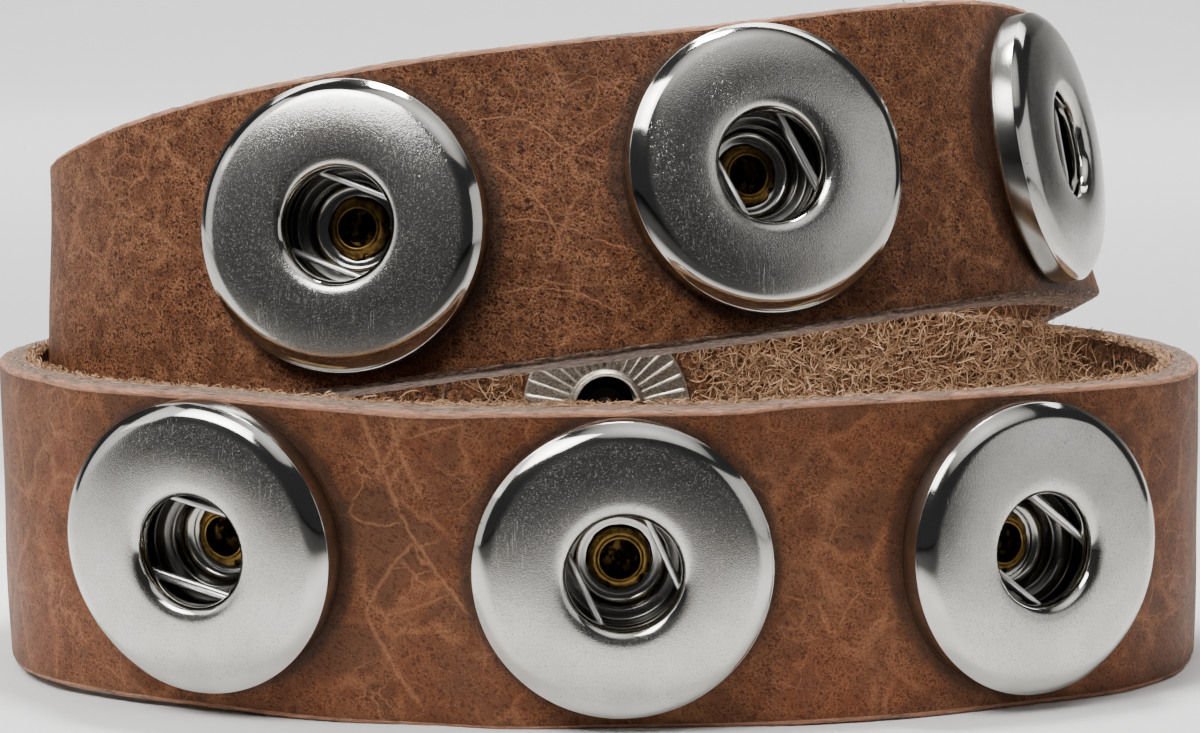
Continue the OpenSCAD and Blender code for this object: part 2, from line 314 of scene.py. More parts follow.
# Leather, grain side: oiled cowhide. Fine wriggling creases with dark pits between them give the dry
# speckle, pale folds part it into fields, and some of the fields are rubbed smooth and dull
def grainLeather():
    m = Recipe("oiled cowhide, grain side")
    worn = m.attribute("worn")

    # places pushed about by a noise, up to half of the given millimetres each way
    def moved(vector, scale, by):
        push = m.vector("SUBTRACT", m.noise(scale, 2.0, vector, "Color"), (0.5,) * 3)
        return m.vector("ADD", vector, m.vector("MULTIPLY", push, (by,) * 3))

    # lines on the borders of cells, half as wide as stated in mm
    def net(vector, scale, half):
        inputs = {"Vector": vector, "Scale": scale}
        border = m.node("TexVoronoi", inputs, "Distance", feature="DISTANCE_TO_EDGE")
        return m.spread(border, 0.0, half * scale, 1.0, 0.0)

    def dot(vector, axis):
        return m.vector("DOT_PRODUCT", vector, (*axis, 0.0), "Value")

    # scar: a parabola over its chord. From the parabola's top, x runs from -0.5 to 0.5 along the chord
    # and y aside in mm, so the line lies where y + 4 bend x^2 is 0; it fades out at both ends
    def scar(fromLength, fromAcross, toLength, toAcross, bend, half, strength):
        start, end = np.array([fromLength, fromAcross]), np.array([toLength, toAcross])
        chord = end - start
        aside = np.array([-chord[1], chord[0]]) / np.hypot(*chord)
        top = (start + end) / 2 + bend * aside
        local = m.vector("SUBTRACT", wavy, (*top, 0.0))
        x, y = dot(local, chord / (chord @ chord)), dot(local, aside)
        xSquared = m.times(x, x)
        away = m.math("MULTIPLY_ADD", xSquared, 4 * bend, y)
        gone, whole = 0.55, 0.4
        return m.times(m.ridge(away, half), m.spread(xSquared, gone ** 2, whole ** 2, 0.0, strength))

    speck = m.noise(7.5, 2.0, Roughness=0.75)
    # the grain leans: its pits are drawn out along a slant
    slant = {"Vector": m.place, "Rotation": (0.0, 0.6, 0.0), "Scale": (1.5, 1.5, 1.0)}
    slanted = m.node("Mapping", slant, vector_type="TEXTURE")
    wriggle = m.noise(4.2, 2.0, moved(slanted, 3.0, 0.25), Roughness=0.6)
    cracks = m.times(net(moved(m.place, 4.0, 0.15), 3.6, 0.045), 0.75)
    creases = m.most(m.ridge(m.minus(wriggle, 0.5), 0.035), cracks)
    broken = m.times(creases, m.spread(speck, 0.36, 0.58, 0.25, 1.0))
    pits = m.times(m.spread(wriggle, 0.47, 0.4), m.spread(speck, 0.6, 0.46))
    pits = m.times(pits, m.spread(worn, 0.4, 1.0, 0.5, 1.0))

    # fields about 6 mm wide, the folds on their borders, and smaller folds here and there
    fieldScale = 0.17
    fieldPlace = moved(moved(m.place, 0.3, 2.6), 1.5, 0.5)
    folds = m.times(net(fieldPlace, fieldScale, 0.42), m.spread(m.noise(0.3, 1.0), 0.38, 0.6, 0.15, 1.0))
    smallFolds = net(moved(moved(m.place, 0.5, 1.6), 2.4, 0.3), 0.42, 0.1)
    smallFolds = m.times(smallFolds, m.spread(m.noise(0.25, 1.0), 0.46, 0.64))
    field = m.node("TexVoronoi", {"Vector": fieldPlace, "Scale": fieldScale}, "Color", feature="F1")
    chosen = m.spread(m.node("SeparateColor", {0: field}), 0.5, 0.8)
    dull = m.times(chosen, m.minus(1.0, net(fieldPlace, fieldScale, 0.8)))
    dull = m.most(dull, m.times(m.spread(m.noise(0.35, 3.0), 0.52, 0.68), 0.7))
    dull = m.times(dull, m.spread(worn, 0.4, 1.0, 1.0, 0.45))
    uv = m.node("TexCoord", output="UV")
    wavy = moved(m.vector("MULTIPLY", uv, (1 / mm,) * 3), 1.6, 0.4)
    marks = scar(*scars[0])
    for row in scars[1:]:
        marks = m.most(marks, scar(*row))

    warm = m.spread(m.noise(0.2, 2.0, moved(m.place, 0.1, 9.0)), 0.46, 0.62)
    ground = m.ramp(m.noise(0.5, 5.0), (0.3, "#57311c"), (0.5, "#643b24"), (0.7, "#71462c"))
    ground = m.mix(m.times(warm, 0.6), ground, "#6e3a1e")
    ground = m.mix(m.times(dull, 0.55), ground, "#583c2a")
    ground = m.mix(m.spread(worn, 0.55, 1.0, 0.0, 0.6), ground, "#51280f")
    dry = m.times(m.spread(m.noise(0.8, 3.0), 0.32, 0.6, 0.25, 1.0), m.minus(1.0, m.times(dull, 0.75)))
    dry = m.times(m.most(dry, m.times(folds, 0.85)), worn)
    colour = m.mix(m.times(m.times(broken, dry), 0.9), ground, "#b57f58")
    colour = m.mix(pits, colour, "#371403")
    paler = m.most(m.most(m.times(folds, 0.34), m.times(smallFolds, 0.5)), marks)
    paler = m.times(paler, m.spread(speck, 0.3, 0.55, 0.4, 1.0))
    colour = m.mix(m.times(paler, 0.75), colour, "#b8825c")
    # painted shade: the grain side darkens in its last millimetre towards either edge
    colour = m.mix(m.times(m.spread(m.attribute("rim"), 0.9, 0.1), 0.3), colour, "#3b2517")
    # painted shadow round each socket's foot, where the leather is also pressed and rubbed dull
    colour = m.mix(m.spread(m.attribute("near"), 9.3, 9.9, 0.6, 0.0), colour, "#33261f")
    # the relief leaves out fields and folds: it is shaded three times over, so it has to stay cheap
    height = m.minus(m.plus(m.times(broken, 0.45), m.times(speck, 0.4)), m.times(pits, 0.6))
    return m.finish(colour, 0.55, 0.22, Normal=m.bump(height, 0.00007, 0.85))


# Leather, cut edge: pressed layers of fibre, streaked along the strap, pale and pink under the grain,
# grey and rubbed in the middle, tan where the flesh side frays
def cutLeather():
    m = Recipe("cowhide, raw cut edge")
    streaked = m.vector("MULTIPLY", m.node("TexCoord", output="UV"), (900.0, 5000.0, 1.0))
    layers = m.noise(1.0, 3.0, streaked, Roughness=0.8, Distortion=0.4)
    thin = m.noise(3.2, 2.0, streaked, Roughness=0.7, Distortion=0.5)
    depth = m.plus(m.attribute("layer"), m.times(m.minus(m.noise(0.6, 4.0), 0.5), 1.3))
    colour = m.mix(m.spread(depth, 0.5, 1.05), "#7d6759", "#ab7a60")
    colour = m.mix(m.spread(depth, -0.3, -0.9), colour, "#9a7658")
    dark = m.most(m.spread(layers, 0.49, 0.41), m.spread(thin, 0.5, 0.4))
    dark = m.times(dark, m.spread(depth, 1.0, 0.5, 0.35, 1.0))
    colour = m.mix(dark, colour, "#46342a")
    colour = m.mix(m.spread(layers, 0.55, 0.68, 0.0, 0.7), colour, "#c9a78e")
    return m.finish(colour, 0.75, 0.3, Normal=m.bump(layers, 0.00015, 1.0))


# Leather, flesh side: rough suede. Pale strands lie where two warped noises pass their middle values,
# over a ground that is dark between the tufts, which is painted shade in the hollows there
def fleshLeather():
    m = Recipe("cowhide, rough flesh side")
    tufts = m.noise(1.1, 6.0, Roughness=0.7, Distortion=1.8)

    def strand(scale, distortion, half):
        return m.ridge(m.minus(m.noise(scale, 1.0, Distortion=distortion), 0.5), half)

    strands = m.most(strand(1.5, 1.4, 0.05), m.times(strand(2.8, 1.0, 0.06), 0.7))
    # painted shade: the strands fade and the ground goes nearly black in the hollows between the tufts
    strands = m.times(strands, m.spread(tufts, 0.36, 0.56, 0.15, 1.0))
    colour = m.ramp(tufts, (0.36, "#22130a"), (0.47, "#46291a"), (0.6, "#6b4229"))
    colour = m.mix(m.times(strands, 0.8), colour, "#a9764f")
    height = m.plus(m.times(tufts, 0.7), m.times(strands, 0.3))
    return m.finish(colour, 0.9, 0.2, Normal=m.bump(height, 0.0006, 1.0))


# loose fibres: each has one shade all along
def fibreLeather():
    m = Recipe("loose collagen fibres")
    colour = m.ramp(m.attribute("shade"), (0.0, "#4a3020"), (0.5, "#8c6a4e"), (1.0, "#c8a482"))
    return m.finish(colour, 0.8, 0.2)


# Nickel plate: the face is finely blasted, so the borders of its reflections break into specks; the
# rim and the mouth's lip are polished, and the inside of the cup is dull and darkened by painted shade
def nickel():
    m = Recipe("nickel plate, blasted face and polished rim")
    polish, shadeAndTarnish = m.attribute("polish"), m.attribute("shadeAndTarnish")
    grit = m.noise(12.0, 1.5, Roughness=0.6)
    wide = m.noise(0.35, 3.0)
    scratch = m.noise(1.0, 1.0, m.vector("MULTIPLY", m.place, (11.0, 11.0, 0.3)))
    scratches = m.times(m.spread(scratch, 0.64, 0.7), m.spread(m.noise(0.3, 1.0), 0.52, 0.62))
    rough = m.plus(m.spread(polish, 0.0, 1.0, 0.17, 0.06), m.times(wide, 0.06))
    rough = m.plus(rough, m.times(shadeAndTarnish, 0.25))
    # the blasting's dents scatter light instead of mirroring it: light specks in dark reflections
    dents = m.spread(m.noise(10.0, 2.0, Roughness=0.8), 0.42, 0.78)
    dents = m.times(dents, m.spread(polish, 0.0, 0.8, 1.0, 0.0))
    pits = m.node("TexVoronoi", {"Vector": m.place, "Scale": 0.9}, "Distance", feature="F1")
    colour = m.mix(m.spread(wide, 0.35, 0.7), "#d3d1cb", "#c6c3bb")
    colour = m.mix(m.spread(pits, 0.04, 0.08, 0.5, 0.0), colour, "#5a564f")
    colour = m.mix(dents, colour, "#a4a19d")
    # painted shade: the colour goes dark in the socket's cup and the spring's room, along its band and under
    # the closure cap
    colour = m.mix(shadeAndTarnish, colour, "#1d1a18")
    height = m.plus(grit, m.times(scratches, 0.8))
    bump = m.bump(height, 0.000012, m.spread(polish, 0.0, 1.0, 1.0, 0.04))
    return m.finish(colour, rough, metallic=m.spread(dents, 0.0, 1.0, 1.0, 0.6), Normal=bump)


# plain metals share one recipe: tarnish lies where the noise is high, and each point's own value adds painted
# shade in holes and tarnish in grooves
def plainMetal(name, bright, dark, roughness, grain, amount):
    m = Recipe(name)
    blot = m.noise(grain, 5.0, Roughness=0.6)
    stainAndShade = m.plus(m.spread(blot, 0.38, 0.66, -0.6 * amount, amount), m.attribute("shadeAndTarnish"))
    rough = m.plus(m.times(blot, 0.12), roughness)
    return m.finish(m.mix(stainAndShade, bright, dark), rough, metallic=1.0, Normal=m.bump(blot, 0.00003, 0.3))


grainMat, cutMat, fleshMat, fibreMat = grainLeather(), cutLeather(), fleshLeather(), fibreLeather()
nickelMat = nickel()
wireMat = plainMetal("drawn steel wire", "#f8f6f4", "#bdbab6", 0.32, 3.0, 0.1)
brassMat = plainMetal("brass tube, rolled and darkened", "#a5834a", "#0f0b06", 0.36, 1.6, 0.4)
oldNickelMat = plainMetal("antique nickel, dark in its grooves", "#bdb4a7", "#453d35", 0.32, 6.5, 0.3)
print("materials ready")


# Strap: a closed ring of points round its section (grain side, cut edge, flesh side, cut edge) swept
# along the course. The section is a rectangle with rounded corners. A hole takes out a square of cells
# either side of its middle, and round it the grid fades back to its regular places
strapSize = {"width": 20.0, "thick": 2.4, "corner": 0.35, "cornerSteps": 3, "across": 38, "edgeSteps": 5,
             "step": 0.53, "tip": 12.0, "tipRadius": 5.0, "slant": 0.35,
             "socketHole": {"radius": 4.0, "cells": 8, "fade": 8.6},
             "closureHole": {"radius": 2.6, "cells": 4, "fade": 5.5}}


def strapPiece(size):
    s = SimpleNamespace(**size)
    w, g, r = s.width / 2, s.thick / 2, s.corner
    flat = np.linspace(-(w - r), w - r, s.across + 1)
    turn = np.linspace(0, np.pi / 2, s.cornerSteps + 1)[1:-1]
    side = np.linspace(g - r, r - g, s.edgeSteps + 1)
    cs, sn = r * np.cos(turn), r * np.sin(turn)
    # going round: up the grain side, down the top edge, down the flesh side, up the bottom edge
    ringAcross = np.concatenate([flat, w - r + sn, np.full(len(side), w), w - r + cs, flat[::-1],
                                 -(w - r) - sn, np.full(len(side), -w), -(w - r) - cs])
    ringHeight = np.concatenate([np.full(len(flat), g), g - r + cs, side, r - g - sn,
                                 np.full(len(flat), -g), r - g - cs, side[::-1], g - r + sn])
    perRing, nFlat = len(ringAcross), len(flat)
    fleshStart = nFlat + 2 * len(turn) + len(side)
    ends = (lengthOf(closureTurn) - s.tip, lengthOf(2 + closureTurn) + s.tip)
    holes = [(lengthOf(closureTurn), 0.0, s.closureHole)]
    holes += [(lengthOf(t), rise, s.socketHole) for t, rise, chords in sorted(sockets.values())]
    holes += [(lengthOf(2 + closureTurn), 0.0, s.closureHole)]
    # rings along the strap: one runs through every hole's middle
    marks = [ends[0]] + [float(hole[0]) for hole in holes] + [ends[1]]
    pieces = [np.linspace(a, b, max(2, int(round((b - a) / s.step))) + 1)[:-1]
              for a, b in zip(marks[:-1], marks[1:])]
    length = np.concatenate(pieces + [[ends[1]]])
    rings = len(length)
    # the section narrows towards the rounded ends, and the very ends are eased like the edges
    fromEnd = np.minimum(length - ends[0], ends[1] - length)
    tip = s.tipRadius
    narrow = np.where(fromEnd < tip, tip - np.sqrt(np.maximum(0, tip ** 2 - (tip - fromEnd) ** 2)), 0)
    gridLength = np.repeat(length[:, None], perRing, 1)
    gridAcross = ringAcross[None] * (1 - narrow[:, None] / w)
    ease = np.clip(1 - fromEnd / r, 0, 1)
    thickest = (g - r + np.sqrt(np.maximum(0, r ** 2 - (r * ease) ** 2)))[:, None]
    gridHeight = np.sign(ringHeight) * np.minimum(np.abs(ringHeight), thickest)

    quads = gridQuads(rings, perRing, closedCols=True)
    rowOf, colOf = np.divmod(quads[:, 0], perRing)
    grainFace, cutFace, fleshFace = 0, 1, 2
    ringFace = np.full(perRing, cutFace)
    ringFace[:nFlat - 1] = grainFace
    ringFace[fleshStart:fleshStart + nFlat - 1] = fleshFace
    keep = np.ones(len(quads), bool)
    walls = []
    cell = flat[1] - flat[0]
    middle = s.across // 2
    bentRows = 20
    for place, rise, hole in holes:
        cells = hole["cells"]
        block = cells * cell
        row = int(np.argmin(np.abs(length - place)))
        rows = np.arange(row - bentRows, row + bentRows + 1)
        rows = rows[(rows >= 0) & (rows < rings)]
        a = np.repeat(((rows - row) * cell)[:, None], nFlat, 1)
        for start in (0, fleshStart):
            patch = np.ix_(rows, start + np.arange(nFlat))
            b = gridAcross[patch]
            # square outlines round the middle become circles at the hole and stay as they are far off
            square = np.maximum(np.abs(a), np.abs(b))
            k = np.clip((square - block) / (hole["fade"] - block), 0, 1)
            k = k * k * (3 - 2 * k)
            onCircle = hole["radius"] * square / block / np.maximum(np.hypot(a, b), 1e-6)
            gridLength[patch] = place + (1 - k) * onCircle * a + k * (gridLength[patch] - place)
            gridAcross[patch] = (1 - k) * (onCircle * b + rise) + k * b
            inRows = (rowOf >= row - cells) & (rowOf < row + cells)
            inCols = (colOf >= start + middle - cells) & (colOf < start + middle + cells)
            keep &= ~(inRows & inCols)
        # the hole's wall joins the two loops of points left round the block
        t = np.arange(-cells, cells)
        far = np.full(2 * cells, cells)
        loopRow = (row + np.concatenate([-far, t, far, -t])) * perRing
        loopCol = np.concatenate([t, far, -t, -far])
        top = loopRow + middle + loopCol
        low = loopRow + fleshStart + (nFlat - 1 - middle) - loopCol
        walls.append(np.stack([top, low, np.roll(low, -1), np.roll(top, -1)], -1))
    walls = np.concatenate(walls)

    # leather isn't dead flat: slow waves of the surface and of the cut edges, calm round the holes
    length, across, height = gridLength.ravel(), gridAcross.ravel(), gridHeight.ravel()
    wave = 0.05 * np.sin(length / 5.3 + across * 0.31 + 1.3) + 0.04 * np.sin(length / 3.1 - across * 0.5)
    calm = np.ones_like(length)
    for place, rise, hole in holes:
        calm *= 1 - np.exp(-((length - place) ** 2 + across ** 2) / 70)
    # the lower edge of the upper turn isn't cut square: its flesh side hangs lower
    outward = np.abs(across) / w
    onUpper = easeOut((np.abs(turnOf(length) - 1.5) - 0.3) / 0.1)
    slant = onUpper * (1 - height / g) / 2 * (across < 0)
    slant = slant * s.slant * outward ** 12
    edgeWave = 0.07 * np.sin(length / 7.7 + np.sign(across)) * outward ** 4
    thicker = height * (1 + 0.03 * np.sin(length / 9.1))
    points = strapPoints(length, across + edgeWave - slant, thicker + wave * calm * (np.abs(height) / g))
    roughOf = {grainFace: 0.0, cutFace: 0.025, fleshFace: 0.05}
    ringRough = np.array([roughOf[face] for face in ringFace])
    ringRough[:nFlat] = 0
    ringRough[[fleshStart, fleshStart + nFlat - 1]] = 0
    points += rng.normal(0, 1, points.shape) * np.tile(ringRough, rings)[:, None] * calm[:, None]
    points[:, 2] = np.maximum(points[:, 2], 0.02)

    # end caps: a strip of quads between the two faces of a ring and a fan over each of its edges
    k = np.arange(nFlat - 1)
    farSide = fleshStart + nFlat - 1 - k
    capQuads = np.stack([k, k + 1, farSide - 1, farSide], -1)
    edges = [np.arange(nFlat - 1, fleshStart + 1), np.append(np.arange(fleshStart + nFlat - 1, perRing), 0)]
    capTris = np.concatenate([np.stack([np.full(len(e) - 2, e[0]), e[1:-1], e[2:]], -1) for e in edges])
    last = (rings - 1) * perRing
    allQuads = np.concatenate([quads[keep], walls, capQuads, capQuads[:, ::-1] + last])
    allTris = np.concatenate([capTris, capTris[:, ::-1] + last])
    faces = ringFace[colOf[keep]]
    faces = np.append(faces, np.full(len(allQuads) + len(allTris) - len(faces), cutFace))
    # uv: length along and length round the section, in metres, with no jump where the ring closes
    ringSum = np.concatenate([[0], np.cumsum(np.hypot(np.diff(ringAcross), np.diff(ringHeight)))])
    around = np.tile(ringSum, (rings, 1))
    around[:, :nFlat] = gridAcross[:, :nFlat] + w - r
    flesh = slice(fleshStart, fleshStart + nFlat)
    around[:, flesh] = ringSum[fleshStart] + w - r - gridAcross[:, flesh]
    uv = np.stack([length, around.ravel()], -1) * mm
    quadUv = uv[allQuads]
    wraps = np.flatnonzero(colOf[keep] == perRing - 1)
    closing = np.hypot(ringAcross[0] - ringAcross[-1], ringHeight[0] - ringHeight[-1])
    quadUv[wraps[:, None], [1, 2], 1] += (ringSum[-1] + closing) * mm
    cornerUv = np.concatenate([quadUv.reshape(-1, 2), uv[allTris].reshape(-1, 2)])
    # the upper turn is the drier and more worn of the two, and its lower edge is cut dark
    lower = easeOut((turnOf(length) - 1.0) / 0.2)
    worn = 0.55 + 0.45 * (1 - lower)
    toSockets = [np.hypot(length - lengthOf(t), across - rise) for t, rise, chords in sockets.values()]
    layer = np.tile(ringHeight, rings) / g * np.where(across < 0, 0.25 + 0.75 * lower, 1.0)
    values = {"rim": w - np.abs(across), "near": np.min(toSockets, axis=0), "worn": worn, "layer": layer}
    mats = (grainMat, cutMat, fleshMat)
    return meshFrom("strapLeather", mats, points, allQuads, allTris, values, faces, cornerUv)


strap = strapPiece(strapSize)
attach(strap, "root")
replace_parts(strap, "strap")
print("strap", len(strap.data.polygons), "faces")


# Fibres: thin three-sided tubes, all at once. Each starts on the strap and its heading turns steadily
# with a wave on top, so it curls in the surface's plane while it rises and falls over it. Side is 1
# where a fibre's second axis runs up the strap's width and -1 where it runs down
def fibres(name, turns, across, height, side, size):
    s = SimpleNamespace(**size)
    count = len(turns)

    def draw(low, high):
        return rng.uniform(low, high, count)[:, None]

    t = np.linspace(0, 1, s.steps)[None]
    long = draw(*s.long)
    if s.lean is None:
        lean = draw(0, 2 * np.pi)
    else:
        lean = np.abs(rng.normal(0, s.lean, count))
        lean = np.where(rng.random(count) < 0.5, lean, np.pi - lean)[:, None]
    curl = rng.normal(0, s.curl, count)[:, None]
    swing = draw(0.2, 0.7)
    heading = lean + curl * t + swing * np.sin(draw(2, 5) * t + draw(0, 6))
    u = np.cumsum(np.cos(heading), 1) * long / s.steps
    v = np.cumsum(np.sin(heading), 1) * long / s.steps * s.stand
    lift = draw(*s.lift) * np.sin(np.pi * t * draw(0.5, 1.0)) - s.root
    along, up, out, at = frameAt(turns)
    root = at + up * across[:, None] + out * (offCourse(turns) + height)[:, None]
    # u runs along the strap, v along its width, and the fibre lifts off the flesh side
    second = up * np.reshape(side, (-1, 1))
    line = root[:, None] + along[:, None] * u[..., None] + second[:, None] * v[..., None]
    line = line - out[:, None] * lift[..., None]
    line[..., 2] = np.maximum(line[..., 2], 0.05)
    ahead = unit(np.gradient(line, axis=1))
    aside = unit(np.cross(ahead, 0.01 - out[:, None]))
    top = np.cross(aside, ahead)
    thick = draw(*s.thick) / 2 * (1.05 - (2 * t - 1) ** 4)
    sides = 3
    j = (np.arange(sides) * 2 * np.pi / sides)[None, None, :, None]
    sideways = aside[:, :, None] * np.cos(j) + top[:, :, None] * np.sin(j)
    ring = line[:, :, None] + thick[..., None, None] * sideways
    base = np.arange(count)[:, None, None] * s.steps * sides
    quads = (gridQuads(s.steps, sides, closedCols=True)[None] + base).reshape(-1, 4)
    first = np.array([[0, 1, 2]])
    caps = np.concatenate([first + base[:, 0], first[:, ::-1] + (s.steps - 1) * sides + base[:, 0]])
    shade = np.repeat(np.clip(rng.normal(s.pale, 0.22, count), 0, 1), s.steps * sides)
    piece = meshFrom(name, [fibreMat], ring.reshape(-1, 3), quads, caps, {"shade": shade})
    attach(piece, "root")


# lengths in mm; lean is how far the heading spreads from the strap's direction, or None for all round
nap = {"steps": 6, "long": (0.9, 3.2), "curl": 1.9, "lift": (0.02, 0.32), "root": 0.06,
       "thick": (0.06, 0.12), "lean": None, "stand": 1.0, "pale": 0.55}
fuzz = {"steps": 5, "long": (0.4, 1.5), "curl": 1.1, "lift": (0.02, 0.25), "root": 0.04,
        "thick": (0.05, 0.1), "lean": 0.5, "stand": 0.45, "pale": 0.7}
# stretches of the flesh side: from and to in turns, bottom and top in mm, number of fibres
fleshStretches = {
    "fleshFibresClosure": (-0.02, 0.2, -1.5, 9.5, 6200),
    "fleshFibresRight": (0.19, 0.28, -1.5, 7.6, 1300),
    "fleshFibresRest": (-0.033, 2.07, -9.2, 8.7, 3000)}
# stretches of its rims: from and to in turns, number of fibres, and 1 for the top rim or -1 for the bottom
rimStretches = np.array([
    (-0.03, 0.13, 500, 1),
    (0.16, 0.3, 700, 1),
    (0.3, 0.86, 5200, 1),
    (0.86, 1.12, 400, 1),
    (0.1, 0.9, 150, -1),
    (1.2, 1.8, 150, -1)])
fleshHeight = -1.2
clearOfEyelet, clearOfRivet = 7.2, 4.8


# places for fibres over a stretch of the flesh side, clear of the rivets' heads and the eyelet
def spotsOn(low, high, bottom, top, count):
    turns, across = rng.uniform(low, high, 3 * count), rng.uniform(bottom, top, 3 * count)
    clear = np.hypot(lengthOf(turns) - lengthOf(closureTurn), across) > clearOfEyelet
    for turn, rise, chords in sockets.values():
        clear &= np.hypot(lengthOf(turns) - lengthOf(turn), across - rise) > clearOfRivet
    return turns[clear][:count], across[clear][:count]


for name, stretch in fleshStretches.items():
    fibres(name, *spotsOn(*stretch), fleshHeight, 1, nap)
# along the rims the fibres stand out over the cut edge, thickest on the lower turn's top
rimTurns = np.concatenate([rng.uniform(a, b, int(k)) for a, b, k, side in rimStretches])
rimSide = np.repeat(rimStretches[:, 3], rimStretches[:, 2].astype(int))
rimAcross = rimSide * rng.uniform(9.6, 9.98, len(rimTurns))
rimHeight = fleshHeight + 0.75 * rng.random(len(rimTurns)) ** 1.5
fibres("edgeFuzz", rimTurns, rimAcross, rimHeight, rimSide, fuzz)
print("fibres")


def anglesRound(around):
    return np.linspace(0, 2 * np.pi, around, endpoint=False)


# surface turned about z from a profile of radius and height, with as many points round as asked
def turned(profile, around):
    a = anglesRound(around)
    r, z = profile[:, :1], profile[:, 1:]
    return np.stack([r * np.cos(a), r * np.sin(a), z + 0 * a], -1)


# tube of rings that closes with a fan to a pole at each end
def poled(points, poles):
    m, n = points.shape[:2]
    k = np.arange(n)
    following = (k + 1) % n
    first = np.stack([np.full(n, m * n), following, k], -1)
    last = np.stack([np.full(n, m * n + 1), (m - 1) * n + k, (m - 1) * n + following], -1)
    flat = np.concatenate([points.reshape(-1, 3), poles])
    return flat, gridQuads(m, n, closedCols=True), np.concatenate([first, last])


# Socket: one closed profile turned round. The face is a low dome; the rim, the lip, both steps of the
# cup and the dish of its floor are arcs
socketSize = {"plate": 9.2, "seat": 1.4, "bandTop": 2.98, "roll": 8.0, "crest": 4.2, "crestR": 4.7,
              "mouth": 3.5, "lipDrop": 0.85, "lipWall": 0.5, "room": 6.15, "cup": 3.6, "cupLow": 2.9,
              "ledge": 0.6, "floor": -0.9, "sheet": 0.25, "tube": 1.75, "dish": 0.6, "step": 0.14,
              "around": 128}


def socketPiece(name, turn, rise, chords, size):
    s = SimpleNamespace(**size)
    # the side band, with painted shade that is darkest in a line near its foot: radius, height, painted shade
    band = np.array([
        (s.plate - 0.07, s.seat, 0.0),
        (s.plate, s.seat + 0.07, 0.0),
        (s.plate, s.seat + 0.26, 0.4),
        (s.plate, s.seat + 0.32, 0.8),
        (s.plate, s.seat + 0.38, 0.5),
        (s.plate, s.bandTop - 0.06, 0.35),
        (s.plate - 0.02, s.bandTop - 0.015, 0.0),
        (s.plate - 0.06, s.bandTop + 0.02, 0.0)])
    # the dome is part of a parabola, and from the band's corner a cubic curve rolls in to it
    domeEdge, domeFoot = s.plate - 0.25, s.bandTop + 0.52
    domeHigh = s.crest - domeFoot
    face = lambda u: domeFoot + domeHigh * (1 - (1 - u) ** 2)
    start = (domeEdge - s.roll) / (domeEdge - s.crestR)
    slope = 2 * domeHigh / (domeEdge - s.crestR) * (1 - start)
    k = np.linspace(0, 1, 15)[1:, None]
    a, b, c, d = np.array([band[-1, :2], (s.plate - 0.3, s.bandTop + 0.3),
                           (s.roll + 0.6, face(start) - 0.6 * slope), (s.roll, face(start))])
    edge = (1 - k) ** 3 * a + 3 * k * (1 - k) ** 2 * b + 3 * k * k * (1 - k) * c + k ** 3 * d
    u = start + (1 - start) * np.linspace(0, 1, 26)[1:]
    dome = np.stack([domeEdge + (s.crestR - domeEdge) * u, face(u)], -1)
    # the mouth's lip stays flat at first and then turns in sharply
    inward = 1 - (1 - np.linspace(0, 1, 15)[1:]) ** 1.6
    drop = s.lipDrop * (1 - (1 - inward ** 2.7) ** 0.5)
    lip = np.stack([s.crestR + (s.mouth - s.crestR) * inward, s.crest - drop], -1)
    low = s.crest - s.lipDrop - s.lipWall
    roof, roomLow, step = s.crest - 0.55, s.seat + 0.3, s.step
    arc = np.linspace(0, np.pi / 2, 7)
    inner = [(s.mouth, low + 0.05), (s.mouth + 0.05, low), (s.mouth + 0.35, low), (s.mouth + 0.45, roof),
             (s.room, roof), (s.room, roomLow)]
    inner += [(s.cup + step - step * np.sin(x), roomLow - step + step * np.cos(x)) for x in arc]
    inner += [(s.cup, s.ledge + 0.12), (s.cup - 0.12, s.ledge)]
    inner += [(s.cupLow + step - step * np.sin(x), s.ledge - step + step * np.cos(x)) for x in arc]
    inner += [(s.cupLow - s.dish * (1 - np.cos(x)), s.floor + s.dish * (1 - np.sin(x))) for x in arc]
    inner += [(s.tube, s.floor), (s.tube, s.floor - s.sheet), (s.cupLow + 0.1, s.floor - s.sheet),
              (s.cupLow + s.sheet, s.floor - 0.1), (s.cupLow + s.sheet, s.ledge - s.sheet),
              (s.cup + s.sheet, s.ledge - s.sheet), (s.cup + s.sheet, s.seat)]
    profile = np.concatenate([band[:, :2], edge, dome, lip, inner])
    points = turned(profile, s.around)
    r, z = profile.T
    order = np.arange(len(profile))
    blasted = (order >= len(band)) & (order < len(band) + len(edge) + len(dome) + len(lip) - 3)
    polish = np.where(blasted, np.clip(np.maximum((r - 7.9) / 0.6, (4.1 - r) / 0.35), 0, 1), 1.0)
    # painted shade: dark in the spring's room, dull and dark on the cup's walls, clean on the steps and the
    # cup's floor
    shadeAndTarnish = np.where((z < low + 0.02) & (r > s.mouth + 0.02) & (r < s.plate - 1), 0.95, 0.0)
    shadeAndTarnish = np.where((z < roomLow - step) & (r < s.cup + 0.02), 0.75, shadeAndTarnish)
    shadeAndTarnish = np.where((z < s.ledge - step) & (r < s.cupLow + 0.02), 0.7, shadeAndTarnish)
    shadeAndTarnish = np.where((z < s.floor + 0.5) & (r < s.cupLow + 0.02), 0.25, shadeAndTarnish)
    shadeAndTarnish[:len(band)] = band[:, 2]
    quads = gridQuads(len(profile), s.around, closedRows=True, closedCols=True)
    values = {"polish": np.repeat(polish, s.around), "shadeAndTarnish": np.repeat(shadeAndTarnish, s.around)}
    flat = carried(points.reshape(-1, 3), turn, rise, chords)
    piece = meshFrom(name, [nickelMat], flat, quads, values=values)
    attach(piece, "root")
    return piece


# Spring: a tube round a flattened coil of two turns, one on the other
springSize = {"wire": 0.42, "chords": 5.3, "length": 11.6, "low": 1.96, "pitch": 0.5, "sides": 12, "bend": 28}


